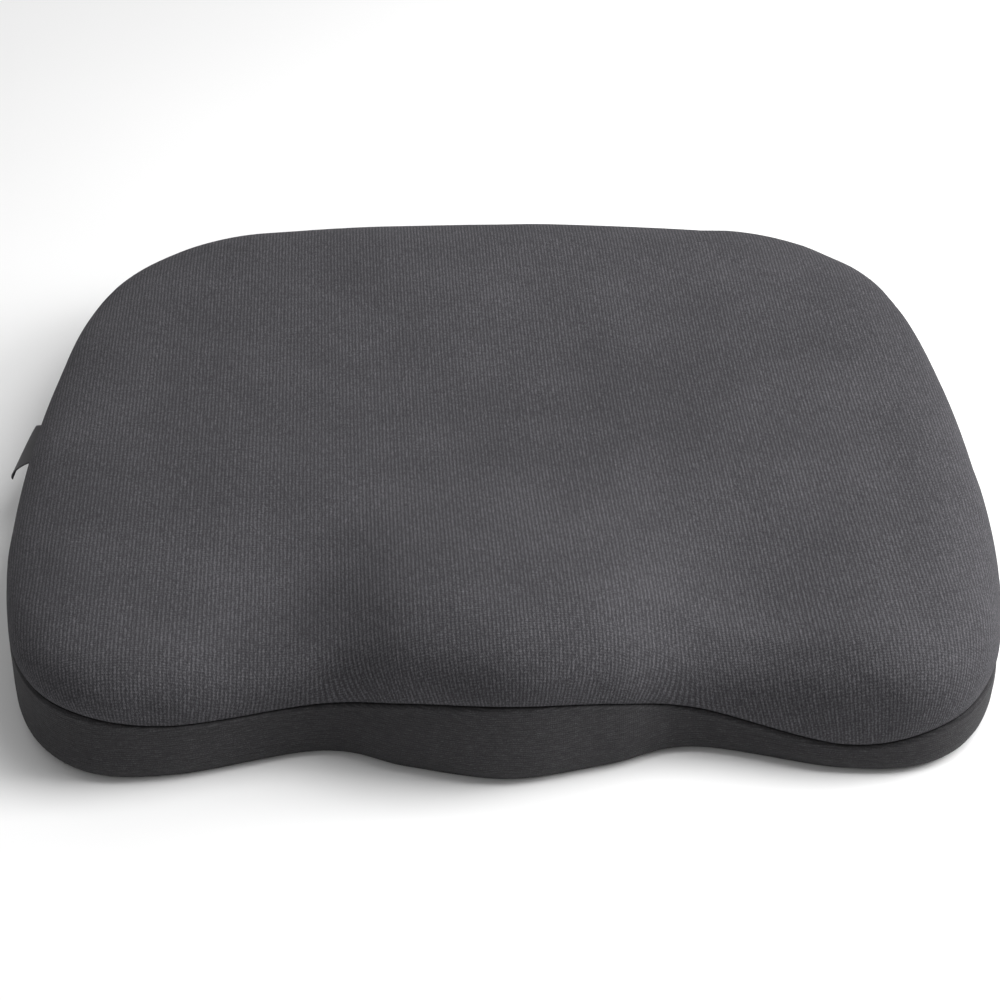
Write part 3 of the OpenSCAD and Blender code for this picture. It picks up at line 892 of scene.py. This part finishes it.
def rib_knit_look():
    """A dark heathered knit: rounded ribs along V, a stitch at a time, with loose fibres."""
    k = Look("rib_knit_charcoal", 0.92, 0.12, 0.03, 0.5, (0.85, 0.83, 0.9))
    u, v = k.uv()
    length = k.noise(1, 2, k.pair(k.math("MULTIPLY", u, 600), k.math("MULTIPLY", v, 190)))
    u = k.math("MULTIPLY_ADD", k.noise(120, 2), 0.0004, u)
    v = k.math("MULTIPLY_ADD", k.noise(300, 2), 0.0007, v)
    rib = k.math("MULTIPLY", k.wave(u, RIB_PITCH), k.math("MULTIPLY_ADD", length, 1.5, 0.0))
    stitch = k.wave(v, 0.00125)
    leg = k.wave(k.math("MULTIPLY_ADD", stitch, 0.0005, u), RIB_PITCH / 2)
    yarn = k.noise(1900, 3, rough=0.75)
    fibre = k.noise(2600, 2, k.stretch((1, 0.35, 0.35)))
    patch = k.noise(7, 3)
    worn = k.noise(28, 4)
    height = k.blend((rib, 0.36), (stitch, 0.12), (leg, 0.12), (yarn, 0.7))
    tone = k.blend((rib, 0.13), (stitch, 0.04), (yarn, 0.55), (fibre, 0.38), (patch, 0.07),
                   (worn, 0.07))
    k.colour(tone, (0.34, (0.011, 0.011, 0.012)), (0.59, (0.041, 0.040, 0.044)),
             (0.83, (0.138, 0.134, 0.145)))
    k.rough(yarn, 0.84, 0.97)
    k.bump(height, 0.00034)
    return k.material


def band_knit_look():
    """A plain dark knit with courses along U, brushed and slightly streaked."""
    k = Look("band_knit_charcoal", 0.9, 0.15, 0.04, 0.5)
    u, v = k.uv()
    v = k.math("MULTIPLY_ADD", k.noise(90, 2), 0.0009, v)
    course = k.wave(v, 0.0011)
    wale = k.wave(u, 0.00095)
    streak = k.noise(900, 3, k.pair(k.math("MULTIPLY", u, 0.22), v))
    yarn = k.noise(1900, 3, rough=0.75)
    patch = k.noise(9, 3)
    height = k.blend((course, 0.3), (wale, 0.14), (streak, 0.4), (yarn, 0.5))
    tone = k.blend((course, 0.07), (streak, 0.3), (yarn, 0.62), (patch, 0.16))
    k.colour(tone, (0.34, (0.011, 0.011, 0.012)), (0.6, (0.034, 0.033, 0.035)),
             (0.85, (0.098, 0.096, 0.101)))
    k.rough(yarn, 0.85, 0.97)
    k.bump(height, 0.00026)
    return k.material


def base_fabric_look():
    """The dense dark cloth of the underside, in a small basket weave."""
    k = Look("base_cloth", 0.86, 0.25, 0.08, 0.5)
    u, v = k.uv()
    warp = k.wave(u, 0.0008)
    weft = k.wave(v, 0.0008, 0.6)
    over = k.wave(k.math("ADD", u, v), 0.0016)
    yarn = k.noise(1300, 3)
    height = k.blend((warp, 0.4), (weft, 0.4), (over, 0.25), (yarn, 0.35))
    k.colour(k.blend((height, 0.55), (k.noise(12, 3), 0.35)),
             (0.25, (0.014, 0.014, 0.015)), (0.8, (0.070, 0.069, 0.073)))
    k.rough(yarn, 0.8, 0.95)
    k.bump(height, 0.00016)
    return k.material


def dot_look():
    k = Look("silicone_dots", 0.45, 0.45)
    speck = k.noise(900, 3)
    k.colour(speck, (0.3, (0.012, 0.012, 0.013)), (0.75, (0.034, 0.034, 0.036)))
    k.rough(speck, 0.36, 0.6)
    k.bump(speck, 0.00005, 0.6)
    return k.material


def foam_look():
    """Open-celled moulded foam, cream, with a thin skin that is broken by pores."""
    k = Look("moulded_foam", 0.92, 0.2)
    cell = k.cells(520)
    pore = k.cells(120)
    stain = k.noise(6, 4)
    k.colour(k.blend((cell, 0.5), (pore, 0.35), (stain, 0.5)), (0.15, (0.60, 0.52, 0.36)),
             (0.5, (0.80, 0.73, 0.57)), (0.9, (0.90, 0.85, 0.72)))
    k.bump(k.blend((cell, 0.7), (pore, 0.6)), 0.0006)
    return k.material


def jersey_look():
    k = Look("liner_jersey", 0.88, 0.25, 0.2, 0.5)
    u, v = k.uv()
    wale = k.wave(u, 0.001)
    course = k.wave(k.math("MULTIPLY_ADD", wale, 0.0004, v), 0.0008)
    yarn = k.noise(1600, 2)
    height = k.blend((wale, 0.5), (course, 0.35), (yarn, 0.3))
    k.colour(k.blend((height, 0.6), (k.noise(10, 3), 0.3)), (0.2, (0.56, 0.56, 0.54)),
             (0.8, (0.84, 0.84, 0.82)))
    k.bump(height, 0.00015)
    return k.material


def ribbon_look(name, dark, light, roughness, specular):
    """A woven ribbon with a fine twill line."""
    k = Look(name, roughness, specular, 0.12, 0.35)
    u, v = k.uv()
    twill = k.wave(k.math("ADD", u, v), 0.00055)
    weft = k.wave(v, 0.0004)
    yarn = k.noise(1900, 2)
    height = k.blend((twill, 0.45), (weft, 0.35), (yarn, 0.3))
    k.colour(k.blend((height, 0.7), (k.noise(60, 3), 0.25)), (0.2, dark), (0.85, light))
    k.rough(yarn, roughness - 0.08, roughness + 0.08)
    k.bump(height, 0.00007)
    return k.material


def thread_look(name, dark, light):
    """Spun thread, with its twist as fine slanting lines."""
    k = Look(name, 0.7, 0.3, 0.15, 0.4)
    u, v = k.uv()
    twist = k.wave(k.math("MULTIPLY_ADD", v, 0.0009, u), 0.00045)
    fluff = k.noise(2200, 2)
    k.colour(k.blend((twist, 0.5), (fluff, 0.5)), (0.2, dark), (0.8, light))
    k.bump(k.blend((twist, 0.6), (fluff, 0.4)), 0.00006)
    return k.material


def tape_look():
    """Zip tape: a close herringbone."""
    k = Look("zip_tape_weave", 0.8, 0.3, 0.08, 0.4)
    u, v = k.uv()
    leg = k.wave(v, 0.0036)
    bone = k.wave(k.math("MULTIPLY_ADD", leg, 0.0018, u), 0.0008)
    yarn = k.noise(1800, 2)
    height = k.blend((bone, 0.6), (yarn, 0.4))
    k.colour(k.blend((height, 0.7), (k.noise(40, 3), 0.25)), (0.2, (0.008, 0.008, 0.009)),
             (0.85, (0.040, 0.040, 0.043)))
    k.bump(height, 0.00009)
    return k.material


def coil_look():
    k = Look("zip_coil_nylon", 0.32, 0.5)
    scuff = k.noise(240, 4)
    k.colour(scuff, (0.3, (0.008, 0.008, 0.009)), (0.8, (0.030, 0.030, 0.033)))
    k.rough(scuff, 0.22, 0.45)
    k.bump(scuff, 0.00003, 0.5)
    return k.material


def metal_look(name, dark, light, rough_low, rough_high, metallic, brushed):
    """Lacquered or brushed zip metal, with scratches and rubbed patches."""
    k = Look(name, rough_low, 0.5, metallic=metallic)
    rub = k.noise(330, 5)
    scratch = k.noise(700, 3, k.stretch((1, 1, 0.05) if brushed else (0.12, 1, 1)))
    k.colour(k.blend((rub, 0.6), (scratch, 0.4)), (0.42, dark), (0.66, light))
    k.rough(k.blend((rub, 0.5), (scratch, 0.5)), rough_low, rough_high)
    k.bump(k.blend((rub, 0.4), (scratch, 0.6)), 0.00002, 0.5)
    return k.material


def floor_look():
    k = Look("pale_floor", 0.85, 0.2)
    k.colour(k.noise(3, 2), (0.2, (0.83, 0.83, 0.83)), (0.8, (0.87, 0.87, 0.87)))
    return k.material


def dress(obj, material):
    obj.data.materials.clear()
    obj.data.materials.append(material)
    return obj


def soft(obj, material, slot, *nodes, upholstery=False):
    """Gives a soft piece its material, the nodes it stands for and its bodies. The slot is not
    used.
    """
    dress(obj, material)
    if nodes:
        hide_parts(*nodes)
    if upholstery:
        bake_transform(obj)
    else:
        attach(obj, "root")
    return obj


# ---------------------------------------------------------------- stage
CAMERA_AT = (-0.0157, -0.9434, 0.7156)
CAMERA_TILT = math.radians(37.0)
CAMERA_TURN = -0.016
LENS = 87.1
SKY = 0.42
# Square lights aimed at the origin: name, place, side and power
LIGHTS = (("key", (0.42, -0.02, 1.04), 0.7, 9), ("side", (1.25, -0.05, 0.80), 0.7, 19),
          ("rear", (-0.9, 1.9, 1.2), 1.4, 4.5))


def set_camera():
    camera = bpy.data.cameras.new("photo_view")
    camera.lens = LENS
    camera.sensor_width = 36
    obj = bpy.data.objects.new("photo_view", camera)
    obj.location = CAMERA_AT
    obj.rotation_euler = (math.pi / 2 - CAMERA_TILT, 0, CAMERA_TURN)
    bpy.context.scene.collection.objects.link(obj)
    bpy.context.scene.camera = obj


def area_light(name, place, size, power):
    light = bpy.data.lights.new(name, "AREA")
    light.shape = "SQUARE"
    light.size = size
    light.energy = power
    obj = bpy.data.objects.new(name, light)
    obj.location = place
    obj.rotation_euler = (-Vector(place)).to_track_quat("-Z", "Y").to_euler()
    bpy.context.scene.collection.objects.link(obj)


def set_stage():
    bpy.ops.mesh.primitive_plane_add(size=30, location=(0, 0, -0.0004))
    floor = bpy.context.object
    floor.name = "floor"
    dress(floor, floor_look())
    world = bpy.data.worlds.new("studio")
    world.use_nodes = True
    background = world.node_tree.nodes["Background"]
    background.inputs["Color"].default_value = (1, 1, 1, 1)
    background.inputs["Strength"].default_value = SKY
    bpy.context.scene.world = world
    bpy.context.scene.view_settings.view_transform = "Standard"
    for light in LIGHTS:
        area_light(*light)


# ---------------------------------------------------------------- build
set_camera()
rim = Rim(AROUND)
inner_rim = Rim(COARSE)
moved = simulate_cover()

rib_knit = rib_knit_look()
band_knit = band_knit_look()
jersey = jersey_look()
thread = thread_look("seam_thread", (0.010, 0.010, 0.011), (0.055, 0.054, 0.058))
tape = tape_look()
nylon = coil_look()

top, side, rear_top, rear_low = make_cover(rim, moved)
soft(top, rib_knit, "rib_knit", "cover_top_panel", upholstery=True)
soft(side, band_knit, "band_knit", "cover_side_band", upholstery=True)
soft(rear_top, band_knit, "band_knit", "rear_band_upper", upholstery=True)
soft(rear_low, band_knit, "band_knit", "rear_band_lower")

foam = soft(make_foam(inner_rim), foam_look(), "foam", "foam_core", upholstery=True)
liner, liner_under = make_liner(inner_rim)
soft(liner, jersey, "jersey", "liner_top", upholstery=True)
soft(liner_under, jersey, "jersey", "liner_base")
base = soft(make_base(inner_rim), base_fabric_look(), "base_fabric", "cover_base_panel")
soft(make_dots(), dot_look(), "grip_dots", "base_grip_dots")

# Height and inset of the two folded seam allowances
lock_top, top_inset = rim.seam - 0.0006, 0.0037
lock_low, low_inset = np.full(rim.n, 0.0047), low_tuck(0.0023) + 0.0017
soft(swept("seam_allowance_top", lock_sections(rim, lock_top, top_inset), True), band_knit,
     "thread", "top_seam_overlock", upholstery=True)
soft(lock_thread("overlock_thread_top", rim, lock_top, top_inset), thread, "thread",
     upholstery=True)
soft(swept("seam_allowance_base", lock_sections(rim, lock_low, low_inset), True), band_knit,
     "thread", "base_seam_overlock")
soft(lock_thread("overlock_thread_base", rim, lock_low, low_inset), thread, "thread")

soft(make_tape("zip_tape_over", 1, 0.009), tape, "zip_tape", "zip_tape_upper")
soft(make_tape("zip_tape_under", -1, 0.0041), tape, "zip_tape", "zip_tape_lower")
soft(make_coil("zip_coil_over", 1, 0.0), nylon, "zip_coil", "zip_coil_upper")
soft(make_coil("zip_coil_under", -1, 0.5), nylon, "zip_coil", "zip_coil_lower")
for name, height in (("zip_stitches_over", 0.0186), ("zip_stitches_under", 0.0059)):
    soft(stitches(name, RearLine(height), 0.0034, 0.0027, 0.00022), thread, "thread")
hem_line = HemLine(inner_rim, HEM_INSET + 0.0045, 0.00028)
soft(stitches("hem_stitches", hem_line, 0.0036, 0.0028, 0.00013), thread, "thread")

label = dress(make_side_label(), ribbon_look("label_ribbon", (0.012, 0.012, 0.013),
                                             (0.075, 0.073, 0.078), 0.6, 0.4))
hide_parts("side_label_tab")
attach(label, "label")
care = soft(make_care_label(rim), ribbon_look("care_label_satin", (0.62, 0.62, 0.62),
                                              (0.86, 0.86, 0.86), 0.42, 0.5),
            "care_satin", "care_label")

lacquer = metal_look("zip_lacquered_metal", (0.020, 0.020, 0.022), (0.085, 0.083, 0.086),
                     0.28, 0.5, 0.55, False)
steel = metal_look("zip_spring_steel", (0.42, 0.42, 0.43), (0.68, 0.68, 0.69),
                   0.2, 0.4, 1.0, True)
for name in ("zip_top_stops", "zip_bottom_stop", "zip_slider_body", "zip_slider_bail",
             "zip_pull_tab"):
    dress(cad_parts[name], lacquer)
dress(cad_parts["zip_lock_spring"], steel)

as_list(liner)
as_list(liner)
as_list(liner)
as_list(base)
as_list(foam)
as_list(foam)
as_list(side)

set_stage()
